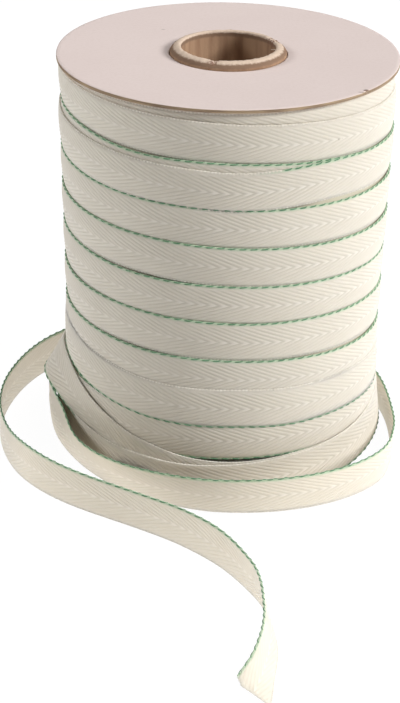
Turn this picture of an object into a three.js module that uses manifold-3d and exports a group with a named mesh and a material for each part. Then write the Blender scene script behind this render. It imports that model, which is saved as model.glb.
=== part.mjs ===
// A spool of herringbone twill tape: a card tube with two card discs, the tape wound on it,
// and the loose end that runs round the foot of the spool and out in front of it.
// Millimetres, +Z up. The pieces are laid out about the spool's own axis, front towards -Y,
// and the whole is then moved so that the origin is the middle of its footprint.
import * as THREE from "three";
import { mergeVertices } from "three/addons/utils/BufferGeometryUtils.js";
import Module from "manifold-3d";

const clearance = 0.3; // air between neighbouring pieces

const spool = { height: 136.7, discRadius: 55.5, footRadius: 47.4, discThick: 1.3 };
const tube = { outer: 18.9, inner: 15.6, proud: 2.6 };
const tape = { width: 13, thick: 1.0 };
const facets = { card: 96, roll: 72 }; // flats round a full circle
const stationStep = 5.5; // mm between cross-sections of the loose tape

// Each turn of the roll, from the top down: the height of its upper edge at the front,
// and the radius out to that edge. The first and last rows run past the discs.
const turns = [
  { height: 158.0, radius: 55.1 },
  { height: 144.6, radius: 55.1 },
  { height: 131.6, radius: 55.1 },
  { height: 118.6, radius: 54.8 },
  { height: 103.4, radius: 54.3 },
  { height: 90.2, radius: 53.8 },
  { height: 77.2, radius: 53.4 },
  { height: 64.3, radius: 53.0 },
  { height: 51.1, radius: 52.6 },
  { height: 40.4, radius: 52.5 },
  { height: 28.0, radius: 51.5 },
  { height: 15.5, radius: 51.4 },
  { height: 2.5, radius: 51.4 },
  { height: -10.5, radius: 51.4 },
  { height: -23.5, radius: 51.4 },
];
const tuck = { depth: 0.5, height: 0.5 }; // how far a turn's lower edge lies in under the next

// The loose tape, from where it leaves the roll behind the spool to its cut end in front.
// around: degrees travelled, 0 at the front and 90 at the right, a further 360 for each turn
// out, up: the middle of the tape, from the spool's axis and from the floor
// lean: turn about its length: 0 has the green edge up, 90 has it away from the spool, 180 down
const looseTape = [
  { around: 150, out: 52.6, up: 22.4, lean: 183 }, // off the roll, green edge down
  { around: 180, out: 53.9, up: 24.9, lean: 177 },
  { around: 225, out: 55.2, up: 27.5, lean: 180 },
  { around: 250, out: 55.2, up: 28.8, lean: 170 }, // stands away at its lower edge
  { around: 270, out: 56.8, up: 29.3, lean: 151 },
  { around: 288, out: 53.9, up: 25.9, lean: 168 },
  { around: 306, out: 52.6, up: 20.6, lean: 183 },
  { around: 330, out: 53.2, up: 13.1, lean: 174 },
  { around: 360, out: 52.6, up: 9, lean: 179 }, // first turn, down round the lower disc
  { around: 405, out: 52.4, up: 11.1, lean: 181 },
  { around: 450, out: 52.4, up: 14.1, lean: 180 },
  { around: 495, out: 53, up: 9.1, lean: 184 },
  { around: 540, out: 53.6, up: 8.8, lean: 181 },
  { around: 585, out: 53.8, up: 10.1, lean: 180 },
  { around: 630, out: 54.6, up: 12.4, lean: 174 },
  { around: 660, out: 54.6, up: 10.8, lean: 177 },
  { around: 690, out: 54.7, up: 8.8, lean: 182 },
  { around: 720, out: 54.2, up: 8.6, lean: 183 }, // second turn, outside the first
  { around: 765, out: 53.9, up: 11.6, lean: 180 },
  { around: 810, out: 54, up: 15.8, lean: 181 },
  { around: 850, out: 56.7, up: 13.8, lean: 190 },
  { around: 880, out: 60.7, up: 9, lean: 225 }, // half twist behind the spool
  { around: 900, out: 61.7, up: 8.2, lean: 265 },
  { around: 920, out: 61.4, up: 11.3, lean: 321 },
  { around: 945, out: 60.5, up: 13.2, lean: 337 },
  { around: 970, out: 60.4, up: 14.8, lean: 349 },
  { around: 990, out: 58, up: 14.1, lean: 362 },
  { around: 1010, out: 56.7, up: 12.1, lean: 358 },
  { around: 1035, out: 58.6, up: 8.9, lean: 381 },
  { around: 1080, out: 62, up: 8.1, lean: 372 }, // third turn, green edge up on the floor
  { around: 1125, out: 66, up: 8.6, lean: 369 },
  { around: 1150, out: 61.2, up: 7, lean: 364 },
  { around: 1170, out: 58.2, up: 7, lean: 358 },
  { around: 1190, out: 59.4, up: 6.9, lean: 356 },
  { around: 1215, out: 64, up: 6.9, lean: 358 },
  { around: 1250, out: 71, up: 7, lean: 361 },
  { around: 1285, out: 76.8, up: 7, lean: 362 },
  { around: 1310, out: 78.2, up: 7, lean: 358 }, // wide loop to the left
  { around: 1335, out: 75.6, up: 6.8, lean: 358 },
  { around: 1370, out: 75, up: 7.2, lean: 362 },
  { around: 1392, out: 78.6, up: 10.8, lean: 360 },
  { around: 1421, out: 81.8, up: 10.6, lean: 363 }, // across the front
  { around: 1437.5, out: 94.8, up: 10, lean: 360 },
  { around: 1445, out: 116.6, up: 8.4, lean: 367 },
  { around: 1446, out: 142.6, up: 8.2, lean: 377 }, // begins to fall over on its side
  { around: 1444.5, out: 166.2, up: 7.7, lean: 385 },
  { around: 1443, out: 176.8, up: 6.4, lean: 408 },
];

const wasm = await Module();
wasm.setup();

const kraftCard = new THREE.MeshStandardMaterial({ color: 0xe4d6cf, roughness: 0.85, metalness: 0 });
const brownCard = new THREE.MeshStandardMaterial({ color: 0xa58a72, roughness: 0.9, metalness: 0 });
const creamCotton = new THREE.MeshStandardMaterial({ color: 0xe6decb, roughness: 0.95, metalness: 0 });

// A mesh with a name of its own.
function named(name, geometry, material) {
  const mesh = new THREE.Mesh(geometry, material);
  mesh.name = name;
  return mesh;
}

// A flat-ended ring about the spool's axis.
function ring(inner, outer, bottom, top, segments) {
  const profile = [
    new THREE.Vector2(inner, bottom),
    new THREE.Vector2(outer, bottom),
    new THREE.Vector2(outer, top),
    new THREE.Vector2(inner, top),
    new THREE.Vector2(inner, bottom),
  ];
  return new THREE.LatheGeometry(profile, segments).rotateX(Math.PI / 2);
}

// A geometry from corner points and the faces between them.
function geometryOf(points, faces) {
  const geometry = new THREE.BufferGeometry().setFromPoints(points);
  geometry.setIndex(faces.flat());
  return geometry;
}

// A closed geometry as a solid for cutting, and back.
function solidOf(geometry) {
  const bare = geometry.clone();
  bare.deleteAttribute("normal");
  bare.deleteAttribute("uv");
  const merged = mergeVertices(bare);
  return new wasm.Manifold(
    new wasm.Mesh({
      numProp: 3,
      vertProperties: merged.attributes.position.array,
      triVerts: new Uint32Array(merged.index.array),
    }),
  );
}

function geometryFrom(solid) {
  const { vertProperties, triVerts } = solid.getMesh();
  return new THREE.BufferGeometry()
    .setAttribute("position", new THREE.BufferAttribute(vertProperties, 3))
    .setIndex(new THREE.BufferAttribute(triVerts, 1));
}

// A place round the spool's axis, with the angle in degrees from the front.
function placeAt(around, out, up) {
  const angle = THREE.MathUtils.degToRad(around);
  return new THREE.Vector3(out * Math.sin(angle), -out * Math.cos(angle), up);
}

// The turns as one screw-shaped body. At each step down the helix there are two points:
// the lower edge of the turn above, tucked in, and the upper edge of the turn that covers it.
function screwOfTurns() {
  const round = facets.roll;
  const last = round * (turns.length - 1);
  const points = [];
  for (let step = 0; step <= last; step++) {
    const turn = Math.min(Math.floor(step / round), turns.length - 2);
    const [here, next] = [turns[turn], turns[turn + 1]];
    const share = step / round - turn;
    const height = THREE.MathUtils.lerp(here.height, next.height, share);
    const radius = THREE.MathUtils.lerp(here.radius, next.radius, share);
    const around = (360 * step) / round;
    points.push(placeAt(around, radius - tuck.depth, height + tuck.height));
    points.push(placeAt(around, radius, height));
  }
  const tucked = (step) => 2 * step;
  const proud = (step) => 2 * step + 1;
  const faces = [];
  const quad = (a, b, c, d) => faces.push([a, b, c], [a, c, d]);
  for (let step = 0; step < last; step++)
    quad(tucked(step), proud(step), proud(step + 1), tucked(step + 1));
  for (let step = 0; step < last - round; step++)
    quad(proud(step), tucked(step + round), tucked(step + round + 1), proud(step + 1));

  // each open end is a loop round the axis, drawn together to a point on it beyond the discs
  const steps = [...Array(round + 1).keys()];
  const upperLoop = [...steps.map(tucked), proud(0)];
  const lowerLoop = [...steps.map((step) => proud(last - step)), tucked(last)];
  for (const [loop, height] of [
    [upperLoop, turns[0].height + tape.width],
    [lowerLoop, turns.at(-1).height - tape.width],
  ]) {
    const tip = points.push(new THREE.Vector3(0, 0, height)) - 1;
    loop.forEach((corner, i) => faces.push([tip, corner, loop[(i + 1) % loop.length]]));
  }
  return geometryOf(points, faces);
}

// The roll: the screw of turns, cut flat between the discs and bored for the tube.
function woundTape() {
  const bottom = spool.discThick + clearance;
  const top = spool.height - spool.discThick - clearance;
  const between = ring(tube.outer + clearance, spool.discRadius + tape.width, bottom, top, facets.roll);
  return geometryFrom(solidOf(screwOfTurns()).intersect(solidOf(between)));
}

function catmullRom(before, from, to, after, share) {
  const pull = 2 * before - 5 * from + 4 * to - after;
  const twist = 3 * from - before - 3 * to + after;
  return from + (share * (to - before + share * (pull + share * twist))) / 2;
}

// The route of the loose tape as evenly spaced places: { middle, lean }.
function routeOf(rows) {
  const mapColumns = (f) => ({ around: f("around"), out: f("out"), up: f("up"), lean: f("lean") });
  const beyond = (row, other) => mapColumns((column) => 2 * row[column] - other[column]);
  const padded = [beyond(rows[0], rows[1]), ...rows, beyond(rows.at(-1), rows.at(-2))];
  const route = [];
  for (let i = 1; i < rows.length; i++) {
    const [before, from, to, after] = padded.slice(i - 1, i + 3);
    const span = placeAt(from.around, from.out, from.up).distanceTo(placeAt(to.around, to.out, to.up));
    const pieces = Math.max(2, Math.round(span / stationStep));
    for (let piece = 0; piece < pieces + (i === rows.length - 1); piece++) {
      const at = mapColumns((column) =>
        catmullRom(before[column], from[column], to[column], after[column], piece / pieces),
      );
      route.push({ middle: placeAt(at.around, at.out, at.up), lean: THREE.MathUtils.degToRad(at.lean) });
    }
  }
  return route;
}

// The loose tape: a flat strip on edge, turned about its length by its lean.
function looseStrip() {
  const route = routeOf(looseTape);
  const points = [];
  const faces = [];
  route.forEach(({ middle, lean }, i) => {
    const ahead = route[Math.min(i + 1, route.length - 1)].middle;
    const travel = ahead.clone().sub(route[Math.max(i - 1, 0)].middle).normalize();
    const away = new THREE.Vector3(travel.y, -travel.x, 0).normalize();
    const upward = away.clone().cross(travel);
    const across = upward.multiplyScalar(Math.cos(lean)).addScaledVector(away, Math.sin(lean));
    const through = across.clone().cross(travel);
    for (const [side, face] of [[1, 1], [-1, 1], [-1, -1], [1, -1]])
      points.push(
        middle
          .clone()
          .addScaledVector(across, (side * tape.width) / 2)
          .addScaledVector(through, (face * tape.thick) / 2),
      );
    if (i === 0) return;
    for (let k = 0; k < 4; k++) {
      const [a, b] = [4 * i + k, 4 * i + ((k + 1) % 4)];
      faces.push([a - 4, a, b], [a - 4, b, b - 4]);
    }
  });
  const end = points.length - 4;
  faces.push([0, 1, 2], [0, 2, 3], [end, end + 2, end + 1], [end, end + 3, end + 2]);
  return geometryOf(points, faces);
}

const layout = new THREE.Group();
const discHole = tube.outer + clearance;
const tubeTop = spool.height + tube.proud;
const discUnder = spool.height - spool.discThick;
layout.add(
  named("core_tube", ring(tube.inner, tube.outer, 0, tubeTop, facets.card), brownCard),
  named("bottom_disc", ring(discHole, spool.footRadius, 0, spool.discThick, facets.card), kraftCard),
  named("top_disc", ring(discHole, spool.discRadius, discUnder, spool.height, facets.card), kraftCard),
  named("wound_tape", woundTape(), creamCotton),
  named("loose_tape", looseStrip(), creamCotton),
);

const footprint = new THREE.Box3().setFromObject(layout);
layout.position.set(-(footprint.min.x + footprint.max.x) / 2, -(footprint.min.y + footprint.max.y) / 2, 0);

const spoolOfTape = new THREE.Group();
spoolOfTape.add(layout);

export default spoolOfTape;
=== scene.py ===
import math

import bmesh
import bpy
import numpy as np
from mathutils import Matrix, Quaternion, Vector, noise


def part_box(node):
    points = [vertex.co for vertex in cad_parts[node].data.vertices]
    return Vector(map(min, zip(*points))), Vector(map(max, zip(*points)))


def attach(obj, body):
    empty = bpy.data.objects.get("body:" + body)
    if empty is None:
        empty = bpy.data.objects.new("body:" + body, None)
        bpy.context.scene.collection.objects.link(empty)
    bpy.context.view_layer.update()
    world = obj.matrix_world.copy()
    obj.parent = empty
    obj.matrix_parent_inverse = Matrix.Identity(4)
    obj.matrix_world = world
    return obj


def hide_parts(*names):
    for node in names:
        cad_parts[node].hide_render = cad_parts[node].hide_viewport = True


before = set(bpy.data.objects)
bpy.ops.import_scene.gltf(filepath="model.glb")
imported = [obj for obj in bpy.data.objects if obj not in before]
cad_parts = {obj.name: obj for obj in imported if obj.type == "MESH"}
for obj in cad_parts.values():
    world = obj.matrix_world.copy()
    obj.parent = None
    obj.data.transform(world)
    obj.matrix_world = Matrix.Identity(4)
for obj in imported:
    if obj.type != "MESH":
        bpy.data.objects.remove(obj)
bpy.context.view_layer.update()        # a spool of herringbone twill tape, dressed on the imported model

coreLow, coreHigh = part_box("core_tube")
discLow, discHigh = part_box("top_disc")
baseLow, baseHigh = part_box("bottom_disc")
axis = (coreLow + coreHigh) / 2        # x and y of the spool's own axis

camera = {
    "aside": -0.0072,      # from the spool's axis
    "back": 0.819,
    "height": 0.4039,
    "aimHeight": 0.0307,
    "roll": 1.15,          # degrees
    "lens": 135.93,
    "sensor": 36,
}


def linked(name, data):
    made = bpy.data.objects.new(name, data)
    bpy.context.scene.collection.objects.link(made)
    return made


def aimed(name, data, place, direction, roll=0.0):
    # a camera or lamp that looks along the direction
    made = linked(name, data)
    made.location = place
    made.rotation_mode = "QUATERNION"
    turn = direction.to_track_quat("-Z", "Y")
    made.rotation_quaternion = turn @ Quaternion((0, 0, 1), math.radians(roll))
    return made


def placeCamera():
    bpy.context.scene.view_settings.view_transform = "Standard"
    data = bpy.data.cameras.new("camera")
    data.sensor_width = camera["sensor"]
    data.lens = camera["lens"]
    data.clip_end = 20
    eye = Vector((axis.x + camera["aside"], axis.y - camera["back"], camera["height"]))
    aim = Vector((eye.x, axis.y, camera["aimHeight"]))
    bpy.context.scene.camera = aimed("camera", data, eye, aim - eye, camera["roll"])
    print("camera")


studio = {
    "world": 0.03,
    "floor": 6.0,          # half its side
    "paper": 0.08,         # how much light the floor gives back
    "glow": 0.96,          # and its own, as a light table
    "lamps": {             # wide suns: degrees round from the front and up, strength, width
        "key": {"around": 73, "up": 28, "strength": 0.95, "wide": 16},
        "fill": {"around": -90, "up": 28, "strength": 0.46, "wide": 16},
        "front": {"around": 45, "up": 40, "strength": 0.17, "wide": 40},
        "top": {"around": 115, "up": 58, "strength": 0.20, "wide": 40},
    },
}


def lightStudio():
    world = bpy.data.worlds.new("studio")
    bpy.context.scene.world = world
    world.use_nodes = True
    background = world.node_tree.nodes["Background"]
    background.inputs["Color"].default_value = (1, 1, 1, 1)
    background.inputs["Strength"].default_value = studio["world"]
    for name, lamp in studio["lamps"].items():
        data = bpy.data.lights.new(name, "SUN")
        data.energy = lamp["strength"] * math.pi
        data.angle = math.radians(lamp["wide"])
        around = math.radians(lamp["around"])
        up = math.radians(lamp["up"])
        level = math.cos(up)
        toLamp = Vector((math.sin(around) * level, -math.cos(around) * level, math.sin(up)))
        aimed(name, data, toLamp, -toLamp)
    print("light")


def meshObject(name, bm, *materials):
    mesh = bpy.data.meshes.new(name)
    bm.to_mesh(mesh)
    bm.free()
    for material in materials:
        mesh.materials.append(material)
    return linked(name, mesh)


def smoothed(piece):
    mesh = piece.data
    mesh.polygons.foreach_set("use_smooth", np.ones(len(mesh.polygons), bool))


def newMaterial(name, roughness):
    material = bpy.data.materials.new(name)
    material.use_nodes = True
    tree = material.node_tree
    shader = tree.nodes["Principled BSDF"]
    shader.inputs["Roughness"].default_value = roughness
    shader.inputs["Specular IOR Level"].default_value = 0.2
    return material, tree, shader


def plug(tree, socket, value):
    if isinstance(value, bpy.types.NodeSocket):
        tree.links.new(value, socket)
    else:
        socket.default_value = value


def node(tree, kind, inputs=None, **settings):
    made = tree.nodes.new(kind)
    for name, value in settings.items():
        setattr(made, name, value)
    for name, value in (inputs or {}).items():
        plug(tree, made.inputs[name], value)
    return made


def maths(tree, operation, first, second=0.0, third=0.0):
    inputs = {0: first, 1: second, 2: third}
    return node(tree, "ShaderNodeMath", inputs, operation=operation).outputs[0]


def vectorMaths(tree, operation, first, second=(0, 0, 0)):
    return node(tree, "ShaderNodeVectorMath", {0: first, 1: second}, operation=operation).outputs[0]


def between(tree, value, low, high, atLow=0.0, atHigh=1.0):
    inputs = {"Value": value, "From Min": low, "From Max": high, "To Min": atLow, "To Max": atHigh}
    return node(tree, "ShaderNodeMapRange", inputs, interpolation_type="SMOOTHSTEP").outputs["Result"]


def mixed(tree, share, first, second):
    made = node(tree, "ShaderNodeMix", data_type="RGBA")
    plug(tree, made.inputs[0], share)
    plug(tree, made.inputs[6], first)
    plug(tree, made.inputs[7], second)
    return made.outputs[2]


def noisy(tree, place, scale, detail=4.0, stretch=None):
    if stretch:
        place = vectorMaths(tree, "MULTIPLY", place, stretch)
    return node(tree, "ShaderNodeTexNoise", {"Vector": place, "Scale": scale, "Detail": detail}).outputs[0]


def objectPlace(tree):
    return node(tree, "ShaderNodeTexCoord").outputs["Object"]


def spot(tree, place, middle, radius, stretch=(1, 1, 1)):
    # 1 at the middle of a small ragged mark, 0 outside it
    offset = vectorMaths(tree, "DIVIDE", vectorMaths(tree, "SUBTRACT", place, middle), stretch)
    length = node(tree, "ShaderNodeVectorMath", {0: offset}, operation="LENGTH").outputs["Value"]
    ragged = maths(tree, "MULTIPLY_ADD", noisy(tree, place, 1600, 2.0), radius, length)
    return between(tree, ragged, radius * 1.5, radius * 0.9)


def bumped(tree, shader, height, strength, distance):
    inputs = {"Height": height, "Strength": strength, "Distance": distance}
    tree.links.new(node(tree, "ShaderNodeBump", inputs).outputs[0], shader.inputs["Normal"])


def linear(level):
    return level / 255 / 12.92 if level < 10.3 else ((level / 255 + 0.055) / 1.055) ** 2.4


def shade(red, green, blue):
    return linear(red), linear(green), linear(blue), 1      # from levels of 0 to 255


def placeOn(out, around, up):
    angle = math.radians(around)
    return Vector((axis.x + out * math.sin(angle), axis.y - out * math.cos(angle), up))


def layFloor():
    material, tree, shader = newMaterial("white_paper", 0.9)
    paper = studio["paper"]
    shader.inputs["Base Color"].default_value = (paper, paper, paper, 1)
    shader.inputs["Emission Color"].default_value = (1, 1, 1, 1)
    shader.inputs["Emission Strength"].default_value = studio["glow"]
    bm = bmesh.new()
    bmesh.ops.create_grid(bm, x_segments=1, y_segments=1, size=studio["floor"])
    meshObject("studio_floor", bm, material)
    print("floor")


tape = {
    "width": 0.013,
    "thick": 0.0005,
    "repeat": 0.00345,     # along the tape, from one twill line to the next
    "slope": 20,           # of the twill lines, degrees either side of the middle
    "rows": 10,            # of the mesh, across the tape
    "relief": 0.00008,
    "edge": 0.0009,        # where the twill gives way to the selvedge
    "reach": 0.0012,       # either way along the tape, to tell its direction
    "ripple": 0.00012,     # unevenness of the wound tape
    "looseRipple": 0.00015,
    "waveOut": 0.021,      # length of the unevenness, out of the tape's face
    "waveAcross": 0.016,   # and across the tape
    "dyeing": 0.01,        # length over which the green edge takes its colour
}
halfWidth = tape["width"] / 2
twillRise = math.tan(math.radians(tape["slope"]))

# The wound tape, from the layer under the top turn down to where the loose tape leaves it.
# turn and angle: place on the roll, 0 at the front of that turn and 90 at the right
# out, up: the middle of the tape, from the spool's axis and from the floor
# lean: turn about its length: 0 has the green edge up, 90 has it away from the spool, 180 down
# swell: how far the middle of the tape stands out past its edges
woundTurns = [
    # turn, angle, out, up, lean, swell
    (0, -180, 0.0534, 0.1283, 3, 0.0002),
    (0, 0, 0.0534, 0.1283, 3, 0.0002),
    (0, 150, 0.0534, 0.1283, 3, 0.0003),
    (1, -140, 0.0537, 0.1279, 4, 0.0004),
    (1, -80, 0.0538, 0.1278, 5.5, 0.0005),
    (1, -41, 0.0539, 0.1267, 5.5, 0.0005),
    (1, -12, 0.0539, 0.1256, 5, 0.0005),
    (1, 4, 0.0539, 0.1249, 5, 0.0005),
    (1, 60, 0.0538, 0.1226, 2.5, 0.0005),
    (1, 180, 0.0538, 0.1180, 3, 0.0005),
    (2, -63, 0.0540, 0.1126, 3.7, 0.0005),
    (2, -37, 0.0540, 0.1110, 3.7, 0.0005),
    (2, -12, 0.0540, 0.1098, 3.7, 0.0005),
    (2, 4, 0.0540, 0.1091, 3.7, 0.0005),
    (2, 17, 0.0540, 0.1096, 3.7, 0.0005),
    (2, 30, 0.0540, 0.1101, 3.7, 0.0005),
    (2, 40, 0.0539, 0.1101, 3.7, 0.0005),
    (2, 55, 0.0538, 0.1095, 3.7, 0.0005),
    (2, 180, 0.0535, 0.1042, 3.7, 0.0005),
    (3, -64, 0.0532, 0.0991, 3.7, 0.0005),
    (3, -37, 0.0532, 0.0979, 3.7, 0.0005),
    (3, 4, 0.0532, 0.0967, 3.7, 0.0005),
    (3, 41, 0.0532, 0.0955, 3.7, 0.0005),
    (3, 180, 0.0530, 0.0905, 3.7, 0.0005),
    (4, -53, 0.0528, 0.0861, 3.7, 0.0005),
    (4, 5, 0.0528, 0.0837, 3.7, 0.0005),
    (4, 42, 0.0528, 0.0820, 3.7, 0.0005),
    (4, 180, 0.0526, 0.0770, 3.7, 0.0005),
    (5, -53, 0.0524, 0.0728, 3.7, 0.0005),
    (5, -38, 0.0524, 0.0719, 3.7, 0.0005),
    (5, 5, 0.0523, 0.0705, 3.7, 0.0005),
    (5, 180, 0.0521, 0.0640, 3.7, 0.0005),
    (6, -48, 0.0520, 0.0596, 3.7, 0.0005),
    (6, 6, 0.0519, 0.0576, 3.7, 0.0005),
    (6, 44, 0.0519, 0.0565, 3.7, 0.0005),
    (6, 180, 0.0517, 0.0513, 3.7, 0.0005),
    (7, -54, 0.0516, 0.0467, 3.7, 0.0005),
    (7, -30, 0.0515, 0.0454, 3.7, 0.0005),
    (7, 6, 0.0515, 0.0445, 3.7, 0.0005),
    (7, 46, 0.0515, 0.0427, 3.7, 0.0005),
    (7, 90, 0.0514, 0.0412, 3.7, 0.0005),
    (7, 130, 0.0515, 0.0399, 5, 0.0004),
    (7, 160, 0.0524, 0.0391, 12, 0.0001),
    (7, 178, 0.0560, 0.0390, 42, 0),       # half twist behind the roll
    (7, 196, 0.0583, 0.0399, 90, 0),
    (7, 214, 0.0563, 0.0417, 138, 0),
    (7, 232, 0.0534, 0.0433, 172, 0.0001),
    (7, 252, 0.0524, 0.0438, 180, 0.0003),
    (7, 268, 0.0522, 0.0436, 180, 0.0003),
    (8, -76, 0.0522, 0.0418, 179, 0.0003),
    (8, -60, 0.0521, 0.0389, 179, 0.0003),
    (8, -44, 0.0520, 0.0368, 179, 0.0003),
    (8, -30, 0.0520, 0.0353, 179, 0.0003),
    (8, -12, 0.0520, 0.0344, 179, 0.0003),
    (8, 7, 0.0520, 0.0343, 179, 0.0003),
    (8, 30, 0.0520, 0.0335, 179, 0.0003),
    (8, 48, 0.0519, 0.0335, 179, 0.0003),
    (8, 90, 0.0519, 0.0322, 180, 0.0003),
    (8, 180, 0.0518, 0.0294, 180, 0.0003),
    (9, -110, 0.0518, 0.0262, 180, 0.0003),
    (9, -60, 0.0518, 0.0241, 180, 0.0003),
    (9, -7, 0.0518, 0.0229, 180, 0.0003),
    (9, 30, 0.0518, 0.0230, 180, 0.0003),
    (9, 90, 0.0519, 0.0227, 180, 0.0003),
    (9, 125, 0.0521, 0.0224, 182, 0.0001),
    (9, 150, 0.0526, 0.0224, 183, 0),
]
greenFrom = 2 * 360 + 19        # around: up to here the wound tape has a cream edge uppermost

# The layer beneath whose green edge shows along the top of the second turn.
lapTurn = [
    (2, -135, 0.0529, 0.1170, 3, 0.0003),
    (2, -63, 0.0535, 0.1153, 3, 0.0003),
    (2, -37, 0.0535, 0.1129, 3, 0.0003),
    (2, 4, 0.0535, 0.1120, 3, 0.0003),
    (2, 24, 0.0535, 0.1111, 3, 0.0003),
    (2, 40, 0.0534, 0.1103, 3, 0.0003),
    (2, 70, 0.0530, 0.1080, 3, 0.0003),
    (2, 110, 0.0529, 0.1066, 3, 0.0003),
    (2, 150, 0.0527, 0.1050, 3, 0.0003),
]

# The layer beneath at the foot of the roll, seen where the loose tape stands away from it.
footTurns = [
    (7, 60, 0.0508, 0.0413, 2, 0.0002),
    (7, 180, 0.0508, 0.0381, 2, 0.0002),
    (8, -60, 0.0506, 0.0354, 2, 0.0002),
    (8, 0, 0.0505, 0.0331, 2, 0.0002),
    (8, 180, 0.0504, 0.0270, 2, 0.0002),
    (9, -60, 0.0506, 0.0240, 3, 0.0002),
    (9, -40, 0.0505, 0.0228, 3, 0.0002),
    (9, 0, 0.0504, 0.0204, 3, 0.0002),
    (9, 180, 0.0503, 0.0146, 2, 0.0002),
    (10, 0, 0.0500, 0.0112, 1, 0.0002),
    (10, 180, 0.0498, 0.0096, 0, 0.0002),
    (11, 0, 0.0490, 0.0090, 0, 0.0002),
    (11, 120, 0.0488, 0.0088, 0, 0.0002),
]

# The loose tape, from where it leaves the roll behind the spool to its cut end in front.
# around goes on by 360 degrees for each turn.
looseTape = [
    # around, out, up, lean
    (150, 0.0526, 0.0224, 183),
    (180, 0.0539, 0.0249, 177),
    (225, 0.0552, 0.0275, 180),
    (250, 0.0546, 0.0288, 168),
    (270, 0.0564, 0.0293, 150),
    (288, 0.0539, 0.0259, 168),
    (306, 0.0526, 0.0206, 183),
    (330, 0.0532, 0.0131, 174),
    (360, 0.0527, 0.0089, 178),
    (405, 0.0524, 0.0111, 181),
    (450, 0.0524, 0.0141, 180),
    (495, 0.0530, 0.0091, 184),
    (540, 0.0536, 0.0088, 181),
    (585, 0.0538, 0.0101, 180),
    (630, 0.0553, 0.0136, 176),
    (660, 0.0538, 0.0105, 177),
    (690, 0.0534, 0.0084, 182),
    (720, 0.0534, 0.0082, 183),
    (765, 0.0534, 0.0114, 177),
    (810, 0.0534, 0.0158, 174),
    (850, 0.0561, 0.0138, 188),
    (880, 0.0607, 0.0086, 222),
    (900, 0.0611, 0.0080, 265),
    (920, 0.0614, 0.0113, 321),
    (945, 0.0605, 0.0132, 337),
    (970, 0.0604, 0.0148, 349),
    (990, 0.0580, 0.0141, 362),
    (1010, 0.0567, 0.0121, 358),
    (1035, 0.0586, 0.0089, 381),
    (1080, 0.0620, 0.0081, 372),
    (1125, 0.0660, 0.0086, 369),
    (1150, 0.0612, 0.0070, 364),
    (1170, 0.0582, 0.0070, 358),
    (1190, 0.0594, 0.0069, 356),
    (1215, 0.0640, 0.0069, 358),
    (1250, 0.0710, 0.0070, 361),
    (1285, 0.0768, 0.0070, 362),
    (1310, 0.0782, 0.0070, 358),
    (1335, 0.0756, 0.0068, 358),
    (1370, 0.0750, 0.0072, 362),
    (1392, 0.0786, 0.0108, 360),
    (1421, 0.0818, 0.0106, 363),
    (1437.5, 0.0948, 0.0100, 360),
    (1445, 0.1166, 0.0084, 367),
    (1446, 0.1426, 0.0082, 377),
    (1444.5, 0.1662, 0.0077, 385),
    (1443, 0.1788, 0.0062, 411),
]
looseEnd = {
    "green": 0.0015,       # how far short of the end its green edge stops
    "point": 0.0035,       # the longest part, across from the middle to the green edge
    "cream": 0.0020,       # how far short its cream edge stops
    "lies": (960, 1392),   # around: here the green strand lies along the very edge
}


def placesAt(columns):
    # points in the model, from columns of around, out and up
    angle = np.radians(columns[:, 0])
    x = axis.x + columns[:, 1] * np.sin(angle)
    y = axis.y - columns[:, 1] * np.cos(angle)
    return np.stack([x, y, columns[:, 2]], 1)


def routeOf(rows, fine=40):
    # a smooth route through the rows: its columns, and the tape's length at each of their places
    table = np.array(rows, float)
    if table.shape[1] == 6:
        table = np.column_stack([table[:, 0] * 360 + table[:, 1], table[:, 2:]])
        steps = np.diff(table[:, 0])
    else:
        table = np.column_stack([table, np.zeros(len(table))])
        steps = np.ones(len(table) - 1)
    slopes = np.diff(table, axis=0) / steps[:, None]
    before = steps[:-1, None]
    after = steps[1:, None]
    inner = (slopes[:-1] * after + slopes[1:] * before) / (before + after)
    pulls = np.vstack([slopes[:1], inner, slopes[-1:]])
    share = (np.arange(fine) / fine)[:, None]
    blend = share * share * (3 - 2 * share)
    parts = []
    for i, step in enumerate(steps):
        chord = table[i] + blend * (table[i + 1] - table[i])
        bow = (1 - share) * pulls[i] - share * pulls[i + 1]
        parts.append(chord + step * share * (1 - share) * bow)
    columns = np.vstack([*parts, table[-1:]])
    lengths = np.linalg.norm(np.diff(placesAt(columns), axis=0), axis=1)
    return columns, np.concatenate([[0], np.cumsum(lengths)])


def lengthAt(route, around):
    columns, lengths = route
    furthest = np.argmax(columns[:, 0]) + 1
    return float(np.interp(around, columns[:furthest, 0], lengths[:furthest]))


def columnsAt(route, along):
    columns, lengths = route
    return np.stack([np.interp(along, lengths, column) for column in columns.T], 1)


def framesOn(route, along):
    # at each length: the tape's middle, the way to its green edge, the way out of the face that
    # is turned from the spool, the level way out from the spool, and the route's columns
    here = columnsAt(route, along)
    ahead = placesAt(columnsAt(route, along + tape["reach"]))
    travel = ahead - placesAt(columnsAt(route, along - tape["reach"]))
    travel /= np.linalg.norm(travel, axis=1)[:, None]
    away = np.stack([travel[:, 1], -travel[:, 0], np.zeros(len(along))], 1)
    away /= np.linalg.norm(away, axis=1)[:, None]
    upward = np.cross(away, travel)
    lean = np.radians(here[:, 3])[:, None]
    toEdge = upward * np.cos(lean) + away * np.sin(lean)
    outer = np.cross(travel, toEdge) * np.cos(lean)       # fades where the tape lies flat
    return placesAt(here), toEdge, outer, away, here


def unevenness(along, height, wave):
    return np.array([height * noise.noise(Vector((place / wave, 3.7, 0.4))) for place in along])


def cutOff(bm, along, across, side):
    # trims the flat tape at a line through the place, square to the side
    bmesh.ops.bisect_plane(
        bm,
        geom=bm.verts[:] + bm.edges[:] + bm.faces[:],
        dist=1e-6,
        plane_co=(along, across, 0),
        plane_no=(*side, 0),
        clear_outer=True,
    )


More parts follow.
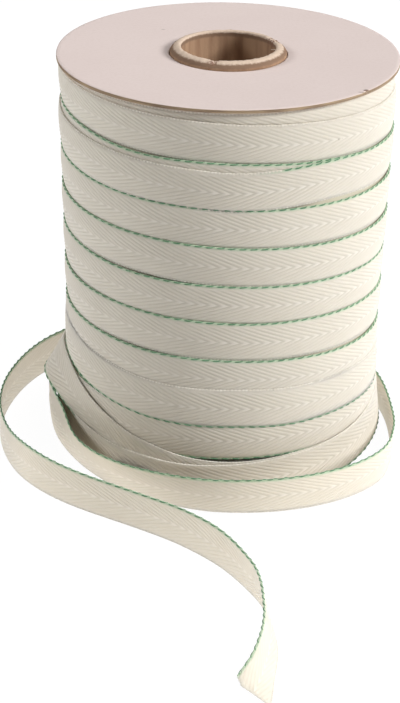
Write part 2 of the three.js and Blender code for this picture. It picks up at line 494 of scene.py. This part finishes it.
def flatTape(length, samples):
    # a flat cloth whose columns follow its herringbone, trimmed square
    shear = halfWidth / twillRise
    column = tape["repeat"] / samples
    columns = math.ceil((length + shear) / column) + 2
    bm = bmesh.new()
    bmesh.ops.create_grid(bm, x_segments=columns, y_segments=tape["rows"], size=1)
    for vert in bm.verts:
        across = vert.co.y * halfWidth
        along = (vert.co.x + 1) / 2 * columns * column - column
        vert.co = (along + (halfWidth - abs(across)) / twillRise - shear, across, 0)
    cutOff(bm, 0, 0, (-1, 0))
    cutOff(bm, length, 0, (1, 0))
    return bm


def layTape(name, bm, route, material, ripple, green=-1.0):
    # raises the twill of a flat tape and lays it along its route; not dyed up to that length
    piece = meshObject(name, bm, material)
    smoothed(piece)
    mesh = piece.data
    flat = np.zeros(len(mesh.vertices) * 3)
    mesh.vertices.foreach_get("co", flat)
    flat = flat.reshape(-1, 3)
    along = flat[:, 0]
    across = flat[:, 1]
    corners = np.zeros(len(mesh.loops), int)
    mesh.loops.foreach_get("vertex_index", corners)
    mesh.uv_layers.new(name="weave").data.foreach_set("uv", flat[corners, :2].ravel())
    dyed = np.clip((along - green) / tape["dyeing"] + 1, 0, 1)
    mesh.attributes.new("dyed", "FLOAT", "POINT").data.foreach_set("value", dyed)

    middle, toEdge, outer, away, here = framesOn(route, along)
    phase = (along + np.abs(across) / twillRise) / tape["repeat"]
    inside = np.clip((halfWidth - np.abs(across)) / tape["edge"], 0, 1)
    twill = tape["relief"] * inside * (2 * np.abs(np.sin(np.pi * phase)) - 1)
    swell = here[:, 4] * (1 - (across / halfWidth) ** 2)
    lift = twill + unevenness(along, ripple, tape["waveOut"])
    drift = across + unevenness(along, ripple, tape["waveAcross"])
    place = middle + toEdge * drift[:, None] + outer * lift[:, None] + away * swell[:, None]
    mesh.vertices.foreach_set("co", place.ravel())
    mesh.update()
    wall = piece.modifiers.new("thickness", "SOLIDIFY")
    wall.thickness = tape["thick"]
    wall.offset = 0
    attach(piece, "root")
    return piece


yarn = {
    "bead": 0.00030,       # radius of the woven edge
    "knot": 0.22,          # share by which it swells at each pick
    "picks": 3,            # swellings to each twill line
    "strand": 0.00020,     # radius of the green strand
    "depth": 0.00028,      # where it winds: how far its middle comes out on either face
    "sway": 0.00013,       # and how far it sways along the face
    "linger": 0.85,        # how much longer it stays on the outer face
    "twist": 0.12,         # share by which the strand swells on its outer side
    "tuck": 0.0004,        # how far inside the tape's ends the strand stops
    "lieDepth": 0.00020,   # where it lies along the edge
    "lieOut": 0.00016,
    "lieSway": 0.00006,
    "settle": 0.01,        # lengths over which it comes to lie and winds again
    "lift": 0.02,
}


def cordMesh(name, points, radii, material):
    data = bpy.data.curves.new(name, "CURVE")
    data.dimensions = "3D"
    data.bevel_depth = 1
    data.bevel_resolution = 1
    data.use_fill_caps = True
    spline = data.splines.new("POLY")
    spline.points.add(len(points) - 1)
    spline.points.foreach_set("co", np.column_stack([points, np.ones(len(points))]).ravel())
    spline.points.foreach_set("radius", radii)
    shaper = bpy.data.objects.new(name, data)
    mesh = bpy.data.meshes.new_from_object(shaper)
    bpy.data.objects.remove(shaper)
    mesh.materials.clear()
    mesh.materials.append(material)
    piece = linked(name, mesh)
    smoothed(piece)
    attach(piece, "root")
    return piece


def edgeBead(name, route, side, material, ripple, start, until):
    # the woven edge along one side of a tape, swelling at each pick of the weft
    along = np.arange(start, until, tape["repeat"] / yarn["picks"] / 2)
    middle, toEdge, outer = framesOn(route, along)[:3]
    reach = side * (halfWidth - yarn["bead"] * 0.4) + unevenness(along, ripple, tape["waveAcross"])
    lift = unevenness(along, ripple, tape["waveOut"])
    points = middle + toEdge * reach[:, None] + outer * lift[:, None]
    swell = 1 + yarn["knot"] * np.cos(np.pi * np.arange(len(along)))
    return cordMesh(name, points, yarn["bead"] * swell, material)


def greenStrand(name, route, material, ripple, start, until, lies=None):
    # the strand that winds about the green edge, or lies along it over a stretch
    along = np.arange(start + yarn["tuck"], until - yarn["tuck"], tape["repeat"] / 10)
    middle, toEdge, outer = framesOn(route, along)[:3]
    phase = 2 * np.pi * along / tape["repeat"]
    turning = phase - yarn["linger"] * np.sin(phase)
    lying = np.zeros(len(along))
    if lies:
        stages = (lies[0] - yarn["settle"], lies[0], lies[1], lies[1] + yarn["lift"])
        lying = np.interp(along, stages, (0, 1, 1, 0))
    windFace = yarn["depth"] * np.cos(turning)
    windSide = yarn["sway"] * np.sin(turning)
    lieFace = yarn["lieDepth"] * np.cos(phase)
    lieSide = yarn["lieOut"] + yarn["lieSway"] * np.cos(2 * phase)
    face = windFace + lying * (lieFace - windFace) + unevenness(along, ripple, tape["waveOut"])
    side = windSide + lying * (lieSide - windSide) + unevenness(along, ripple, tape["waveAcross"])
    reach = halfWidth - yarn["bead"] * 0.2 + side
    points = middle + toEdge * reach[:, None] + outer * face[:, None]
    radii = yarn["strand"] * (1 + yarn["twist"] * np.cos(phase))
    return cordMesh(name, points, radii, material)


cotton = {
    "low": (210, 201, 186),
    "high": (217, 208, 193),
    # painted shade: the colour the twill's grooves darken to, and by how much
    "grooveShade": (186, 178, 161),
    "grooveShadeShare": 0.27,
    "fluff": (205, 197, 181),
    "fluffShare": 0.12,
    "nubHighlight": (236, 229, 218),         # painted highlight on the raised nubs along the tape's middle
    "nubHighlightShare": 0.35,
    "halo": (186, 204, 174),        # dye that has run from the green edge
    "haloShare": 0.75,
    "haloWidth": 0.0010,
    "fleck": {"out": 0.0542, "around": 40, "up": 0.1232, "radius": 0.0006, "colour": (150, 130, 116)},
    "warp": 0.00042,       # pitch of the threads that run along the tape
    "weft": 0.00058,       # and of those across it
    "bump": 0.00006,
    "sheen": 0.15,
    "depth": 0.0020,       # how far light wanders inside it
    "clothShare": 0.8,     # of the light that wanders, in the cloth
    "yarnShare": 0.3,      # and in its edges
}


def cottonShader(name, share):
    material, tree, shader = newMaterial(name, 0.92)
    shader.inputs["Sheen Weight"].default_value = cotton["sheen"]
    shader.inputs["Sheen Roughness"].default_value = 0.6
    shader.inputs["Subsurface Weight"].default_value = share
    shader.inputs["Subsurface Radius"].default_value = (1, 1, 1)
    shader.inputs["Subsurface Scale"].default_value = cotton["depth"]
    return material, tree, shader


def twillCotton():
    # unbleached cotton with its herringbone, read from the flat tape's own coordinates, with painted shade
    # in the twill's grooves and a painted highlight on the nubs along its middle
    material, tree, shader = cottonShader("cream_cotton_twill", cotton["clothShare"])
    weave = node(tree, "ShaderNodeUVMap", uv_map="weave").outputs[0]
    flat = node(tree, "ShaderNodeSeparateXYZ", {0: weave})
    along = flat.outputs[0]
    across = flat.outputs[1]
    apart = maths(tree, "ABSOLUTE", across)
    phase = maths(tree, "MULTIPLY_ADD", apart, 1 / twillRise, along)
    turned = maths(tree, "MULTIPLY", phase, math.pi / tape["repeat"])
    ridge = maths(tree, "ABSOLUTE", maths(tree, "SINE", turned))
    inside = between(tree, apart, halfWidth - tape["edge"], halfWidth - tape["edge"] - 0.0005)
    grooveShade = maths(tree, "MULTIPLY", between(tree, ridge, 0.75, 0.1), inside)
    warp = maths(tree, "SINE", maths(tree, "MULTIPLY", across, 2 * math.pi / cotton["warp"]))
    weft = maths(tree, "SINE", maths(tree, "MULTIPLY", along, 2 * math.pi / cotton["weft"]))
    threads = maths(tree, "MULTIPLY", warp, weft)
    onPiece = objectPlace(tree)
    blotch = noisy(tree, onPiece, 90, 3.0)
    fleece = noisy(tree, onPiece, 1500)

    base = mixed(tree, blotch, shade(*cotton["low"]), shade(*cotton["high"]))
    # painted shade: the twill's grooves are darkened as if shadow lay in them
    dark = maths(tree, "MULTIPLY", grooveShade, cotton["grooveShadeShare"])
    base = mixed(tree, dark, base, shade(*cotton["grooveShade"]))
    fluff = between(tree, fleece, 0.35, 0.75, 0.0, cotton["fluffShare"])
    base = mixed(tree, fluff, base, shade(*cotton["fluff"]))
    # painted highlight: the raised nubs along the tape's middle are lightened as if catching the light
    middling = between(tree, apart, 0.0006, 0.0002)
    nubHighlight = maths(tree, "MULTIPLY", middling, between(tree, ridge, 0.5, 0.95))
    base = mixed(tree, maths(tree, "MULTIPLY", nubHighlight, cotton["nubHighlightShare"]), base, shade(*cotton["nubHighlight"]))
    dyed = node(tree, "ShaderNodeAttribute", attribute_name="dyed").outputs["Fac"]
    start = halfWidth - cotton["haloWidth"]
    halo = between(tree, across, start, halfWidth - 0.0003, 0.0, cotton["haloShare"])
    base = mixed(tree, maths(tree, "MULTIPLY", halo, dyed), base, shade(*cotton["halo"]))
    fleck = cotton["fleck"]
    for aside in (-0.8, 0.8):
        middle = placeOn(fleck["out"], fleck["around"] + aside, fleck["up"])
        mark = maths(tree, "MULTIPLY", spot(tree, onPiece, middle, fleck["radius"]), 0.7)
        base = mixed(tree, mark, base, shade(*fleck["colour"]))
    tree.links.new(base, shader.inputs["Base Color"])

    relief = maths(tree, "MULTIPLY_ADD", threads, 0.3, maths(tree, "MULTIPLY", ridge, inside))
    relief = maths(tree, "MULTIPLY_ADD", fleece, 0.4, relief)
    bumped(tree, shader, relief, 0.5, cotton["bump"])
    return material


def yarnCotton(name, first, second):
    # cotton of the woven edges, a little uneven in colour along its length
    material, tree, shader = cottonShader(name, cotton["yarnShare"])
    onPiece = objectPlace(tree)
    uneven = between(tree, noisy(tree, onPiece, 420, 2.0), 0.3, 0.7)
    tree.links.new(mixed(tree, uneven, shade(*first), shade(*second)), shader.inputs["Base Color"])
    bumped(tree, shader, noisy(tree, onPiece, 2600, 3.0), 0.4, 0.00005)
    return material


def layWound(cloth, cream, pale, green):
    route = routeOf(woundTurns)
    length = route[1][-1]
    greenStart = lengthAt(route, greenFrom)
    ripple = tape["ripple"]
    roll = layTape("wound_tape_turns", flatTape(length, 4), route, cloth, ripple, greenStart)
    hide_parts("wound_tape")
    edges = [
        edgeBead("wound_tape_cream_edge", route, -1, cream, ripple, 0, length),
        edgeBead("wound_tape_upper_edge", route, 1, cream, ripple, 0, greenStart),
        edgeBead("wound_tape_green_edge", route, 1, pale, ripple, greenStart, length),
        greenStrand("wound_tape_green_strand", route, green, ripple, greenStart, length),
    ]
    print("wound tape", round(length, 3))


def layBeneath(name, rows, cloth, pale, green):
    route = routeOf(rows)
    length = route[1][-1]
    ripple = tape["ripple"]
    strip = layTape(name, flatTape(length, 4), route, cloth, ripple)
    edges = [
        edgeBead(name + "_green_edge", route, 1, pale, ripple, 0, length),
        greenStrand(name + "_green_strand", route, green, ripple, 0, length),
    ]
    print(name, round(length, 3))


def layLoose(cloth, cream, pale, green):
    route = routeOf(looseTape)
    length = route[1][-1]
    ripple = tape["looseRipple"]
    bm = flatTape(length, 6)
    point = looseEnd["point"]
    cutOff(bm, length, point, (halfWidth + point, -looseEnd["cream"]))
    cutOff(bm, length, point, (halfWidth - point, looseEnd["green"]))
    strip = layTape("loose_tape_strip", bm, route, cloth, ripple)
    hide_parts("loose_tape")
    lies = [lengthAt(route, around) for around in looseEnd["lies"]]
    greenEnd = length - looseEnd["green"]
    edges = [
        edgeBead("loose_tape_cream_edge", route, -1, cream, ripple, 0, length - looseEnd["cream"]),
        edgeBead("loose_tape_green_edge", route, 1, pale, ripple, 0, greenEnd),
        greenStrand("loose_tape_green_strand", route, green, ripple, 0, greenEnd, lies),
    ]
    print("loose tape", round(length, 3))


def makeTapes():
    cloth = twillCotton()
    # the cream edges' yarn is lighter than the cloth: a painted highlight where the woven edge catches the
    # light
    cream = yarnCotton("cream_selvedge_cotton", (228, 220, 204), (238, 231, 218))
    pale = yarnCotton("pale_green_selvedge_cotton", (172, 198, 163), (186, 209, 176))
    green = yarnCotton("green_marker_yarn", (78, 124, 88), (102, 146, 110))
    layWound(cloth, cream, pale, green)
    layBeneath("under_lap", lapTurn, cloth, pale, green)
    layBeneath("under_turns", footTurns, cloth, pale, green)
    layLoose(cloth, cream, pale, green)


def spun(profile, steps):
    # a closed profile of (radius, height) turned once about the spool's axis
    bm = bmesh.new()
    corners = [bm.verts.new((axis.x + radius, axis.y, height)) for radius, height in profile]
    edges = [bm.edges.new((corner, corners[i - 1])) for i, corner in enumerate(corners)]
    bmesh.ops.spin(
        bm,
        geom=corners + edges,
        cent=(axis.x, axis.y, 0),
        axis=(0, 0, 1),
        angle=2 * math.pi,
        steps=steps,
        use_merge=True,
    )
    bmesh.ops.remove_doubles(bm, verts=bm.verts[:], dist=1e-6)
    bmesh.ops.recalc_face_normals(bm, faces=bm.faces[:])
    return bm


innerRoll = {
    "hole": 0.0193,
    "steps": 180,
    "low": (206, 197, 176),
    "high": (224, 216, 198),
    "outline": [           # radius, height
        (0.0493, 0.0021),
        (0.0497, 0.0250),
        (0.0501, 0.0335),
        (0.0507, 0.0400),
        (0.0515, 0.0655),
        (0.0524, 0.0915),
        (0.0532, 0.1180),
        (0.0527, 0.1215),
        (0.0527, 0.1346),
    ],
}


def makeInnerRoll():
    material, tree, shader = newMaterial("inner_layers_cotton", 0.95)
    onPiece = objectPlace(tree)
    base = mixed(tree, noisy(tree, onPiece, 300), shade(*innerRoll["low"]), shade(*innerRoll["high"]))
    tree.links.new(base, shader.inputs["Base Color"])
    bumped(tree, shader, noisy(tree, onPiece, 1500), 0.4, 0.0001)
    outline = innerRoll["outline"]
    hole = innerRoll["hole"]
    profile = [(hole, outline[0][1]), *outline, (hole, outline[-1][1])]
    piece = meshObject("inner_layers", spun(profile, innerRoll["steps"]), material)
    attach(piece, "root")
    print("inner layers")


card = {
    "steps": 640,
    "low": (225, 209, 204),
    "high": (230, 215, 210),
    "fibre": (205, 186, 174),
    "fibreShare": 0.16,
    "edgeLow": (126, 106, 86),
    "edgeHigh": (168, 146, 118),
    "plies": 4,            # layers of card that show at the disc's edge
    "score": 0.00007,      # depth of the line between two plies
    "soft": 0.00022,       # worn roundness of the disc's corners
    "loose": 0.0002,       # how much wider its hole is than the tube
    "knocks": [            # around, half width, how far the top corner is pushed in
        (51.1, 0.0010, 0.0005),
        (47.5, 0.0016, -0.00025),
    ],
    "flecks": [            # out, around, radius, longer across, depth of colour
        (0.0318, 222.3, 0.00040, 2.2, 0.45),
        (0.0248, 178.1, 0.00040, 1.2, 0.65),
        (0.0550, 51.2, 0.00085, 1.4, 0.95),
        (0.0550, 48.6, 0.00060, 3.0, 0.50),
    ],
    "fleckColour": (112, 84, 72),
}


def cardShader():
    # pinkish-beige card with fine fibre, a few brown flecks, and a browner edge
    material, tree, shader = newMaterial("beige_card", 0.8)
    onPiece = objectPlace(tree)
    fibre = noisy(tree, onPiece, 900)
    base = mixed(tree, noisy(tree, onPiece, 60), shade(*card["low"]), shade(*card["high"]))
    base = mixed(tree, between(tree, fibre, 0.4, 0.8, 0.0, card["fibreShare"]), base, shade(*card["fibre"]))
    for out, around, radius, longer, depth in card["flecks"]:
        mark = spot(tree, onPiece, placeOn(out, around, discHigh.z), radius, (longer, 1, 1))
        mark = maths(tree, "MULTIPLY", mark, depth)
        base = mixed(tree, mark, base, shade(*card["fleckColour"]))
    normal = node(tree, "ShaderNodeNewGeometry").outputs["Normal"]
    facing = maths(tree, "ABSOLUTE", node(tree, "ShaderNodeSeparateXYZ", {0: normal}).outputs[2])
    plies = noisy(tree, onPiece, 1.0, 3.0, (120, 120, 2600))
    streak = between(tree, plies, 0.35, 0.65)
    edge = mixed(tree, streak, shade(*card["edgeLow"]), shade(*card["edgeHigh"]))
    base = mixed(tree, between(tree, facing, 0.75, 0.35), base, edge)
    tree.links.new(base, shader.inputs["Base Color"])
    bumped(tree, shader, fibre, 0.25, 0.0001)
    return material


def discProfile(low, high, radius, hole):
    soft = card["soft"]
    ply = (high - low - 2 * soft) / card["plies"]
    points = [(hole, low), (hole + 0.0004, low), (hole + 0.0020, low)]      # flat near its edges
    points += [(radius - 0.0012, low), (radius - soft, low), (radius - soft * 0.3, low + soft * 0.3)]
    for i in range(card["plies"]):
        start = low + soft + ply * i
        points.append((radius - card["score"], start))
        points.append((radius, start + ply * 0.3))
        points.append((radius, start + ply * 0.75))
    points.append((radius - soft * 0.3, high - soft * 0.4))
    points.append((radius - soft * 1.2, high))
    points.append((radius - 0.0012, high))
    points.append((radius * 0.75, high))
    points.append((hole + 0.0020, high))
    points.append((hole + 0.0004, high))
    points.append((hole, high))
    return points


def makeDiscs():
    face = cardShader()
    hole = (coreHigh.x - coreLow.x) / 2 + card["loose"]
    for solid, low, high in (("top_disc", discLow, discHigh), ("bottom_disc", baseLow, baseHigh)):
        radius = (high.x - low.x) / 2
        bm = spun(discProfile(low.z, high.z, radius, hole), card["steps"])
        for around, reach, depth in card["knocks"]:
            corner = placeOn(radius, around, discHigh.z)
            inward = (Vector((axis.x, axis.y, corner.z)) - corner).normalized()
            for vert in bm.verts:
                near = 1 - (vert.co - corner).length / reach
                if near > 0:
                    vert.co += inward * depth * near
        piece = meshObject(solid.replace("disc", "card_disc"), bm, face)
        smoothed(piece)
        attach(piece, "root")
        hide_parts(solid)
    print("card discs")


core = {
    "steps": 320,
    "wall": 0.0035,
    "rim": [               # out from the bore, down from the top
        (0.0000, 0.0003),
        (0.0003, 0.0000),
        (0.0010, 0.0000),
        (0.0017, 0.0002),
        (0.0023, 0.0006),
        (0.0029, 0.0011),
        (0.0033, 0.0016),
        (0.0035, 0.0021),
    ],
    "rough": 0.00016,      # how far the torn rim wanders
    "roughDown": 0.0024,   # and how far down from its top
    "torn": [              # around, half width in degrees, how far the rim is worn down
        (-17, 10, 0.0005),
        (116, 14, 0.0006),
    ],
    "nib": {"around": 80, "from": 0.0172, "to": 0.0138, "thick": 0.0004},
    "low": (148, 116, 92),
    "high": (178, 146, 118),
    "rimLow": (206, 182, 160),
    "rimHigh": (228, 208, 190),
    "slope": (138, 112, 92),
    "tornColour": (128, 86, 70),
}


def tubeShader():
    # brown board, lighter along the worn rim, streaked down the bore
    material, tree, shader = newMaterial("brown_tube_board", 0.85)
    onPiece = objectPlace(tree)
    fibre = noisy(tree, onPiece, 1100)
    streaks = noisy(tree, onPiece, 1.0, 4.0, (300, 300, 22))
    base = mixed(tree, between(tree, streaks, 0.3, 0.7), shade(*core["low"]), shade(*core["high"]))
    height = node(tree, "ShaderNodeSeparateXYZ", {0: onPiece}).outputs[2]
    ragged = maths(tree, "MULTIPLY_ADD", fibre, 0.0006, height)
    slope = between(tree, ragged, coreHigh.z - 0.0020, coreHigh.z - 0.0012)
    base = mixed(tree, slope, base, shade(*core["slope"]))
    rim = between(tree, ragged, coreHigh.z - 0.0007, coreHigh.z - 0.0001)
    pale = mixed(tree, fibre, shade(*core["rimLow"]), shade(*core["rimHigh"]))
    base = mixed(tree, rim, base, pale)
    for around, wide, depth in core["torn"]:
        out = (coreHigh.x - coreLow.x) / 2 - core["wall"] * 0.6
        middle = placeOn(out, around, coreHigh.z - 0.0004)
        reach = out * math.radians(wide)
        mark = spot(tree, onPiece, middle, reach * 0.8)
        broken = between(tree, noisy(tree, onPiece, 1.0, 3.0, (1500, 1500, 200)), 0.45, 0.6)
        base = mixed(tree, maths(tree, "MULTIPLY", mark, broken), base, shade(*core["tornColour"]))
    tree.links.new(base, shader.inputs["Base Color"])
    bumped(tree, shader, fibre, 0.5, 0.00015)
    return material


def makeTube():
    outer = (coreHigh.x - coreLow.x) / 2
    bore = outer - core["wall"]
    top = coreHigh.z
    bottom = coreLow.z
    profile = [(bore + 0.0002, bottom), (outer - 0.0002, bottom), (outer, bottom + 0.0004)]
    profile += [(outer, top - down) for down in (0.03, 0.006, 0.003)]
    profile += [(bore + out, top - down) for out, down in reversed(core["rim"])]
    profile += [(bore, top - down) for down in (0.0008, 0.0016, 0.003, 0.006, 0.03, 0.08)]
    bm = spun(profile, core["steps"])
    for vert in bm.verts:
        near = max(0.0, 1 - (top - vert.co.z) / core["roughDown"])
        if near > 0:
            around = math.degrees(math.atan2(vert.co.x - axis.x, axis.y - vert.co.y))
            worn = 0.0
            for place, wide, depth in core["torn"]:
                share = max(0.0, 1 - abs(around - place) / wide)
                bite = 0.6 + 0.8 * noise.noise(vert.co * 1400)
                worn += depth * min(1.0, share * 2) * bite
            drift = noise.noise_vector(vert.co * 900) * core["rough"]
            vert.co += (drift - Vector((0, 0, worn))) * near
    nib = core["nib"]
    start = placeOn(nib["from"], nib["around"], top - 0.0006)
    end = placeOn(nib["to"], nib["around"] + 4, top - 0.0007)
    turn = (end - start).to_track_quat("Z", "Y").to_matrix().to_4x4()
    bmesh.ops.create_cone(
        bm,
        cap_ends=True,
        segments=7,
        radius1=nib["thick"],
        radius2=nib["thick"] * 0.3,
        depth=(end - start).length,
        matrix=Matrix.Translation((start + end) / 2) @ turn,
    )
    piece = meshObject("core_board_tube", bm, tubeShader())
    smoothed(piece)
    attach(piece, "root")
    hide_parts("core_tube")
    print("core tube")


placeCamera()
lightStudio()
layFloor()
makeTapes()
makeInnerRoll()
makeDiscs()
makeTube()
